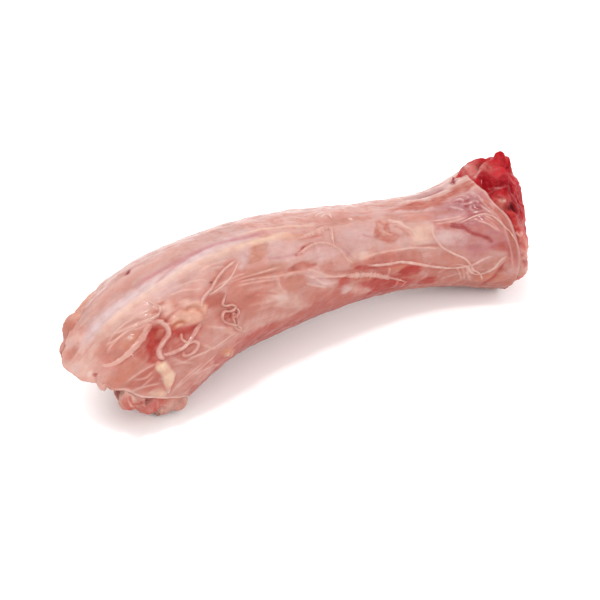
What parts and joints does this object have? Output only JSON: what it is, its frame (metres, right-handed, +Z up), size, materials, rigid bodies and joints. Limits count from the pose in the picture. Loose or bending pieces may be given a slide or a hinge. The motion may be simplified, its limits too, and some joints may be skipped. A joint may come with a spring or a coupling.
{
  "type": "chicken neck",
  "caption": "Raw chicken neck without its skin: a gently arched roll of flesh round the neck bones, cut across at both ends.",
  "frame": {"origin": "middle of the neck's footprint, on the surface that it lies on", "axes": "+X along the neck towards the shoulder end, +Y towards the neck's back, +Z up"},
  "size_m": [0.1338, 0.0394, 0.0329],
  "materials": {
    "flesh": "moist pink flesh under a thin clear membrane, with cords of pale fat, nerves and vessels",
    "bone": "cut neck bone, pale and slightly porous, with a dark canal"
  },
  "bodies": {
    "root": {"neck": "flesh", "bone": "bone"}
  },
  "joints": []
}
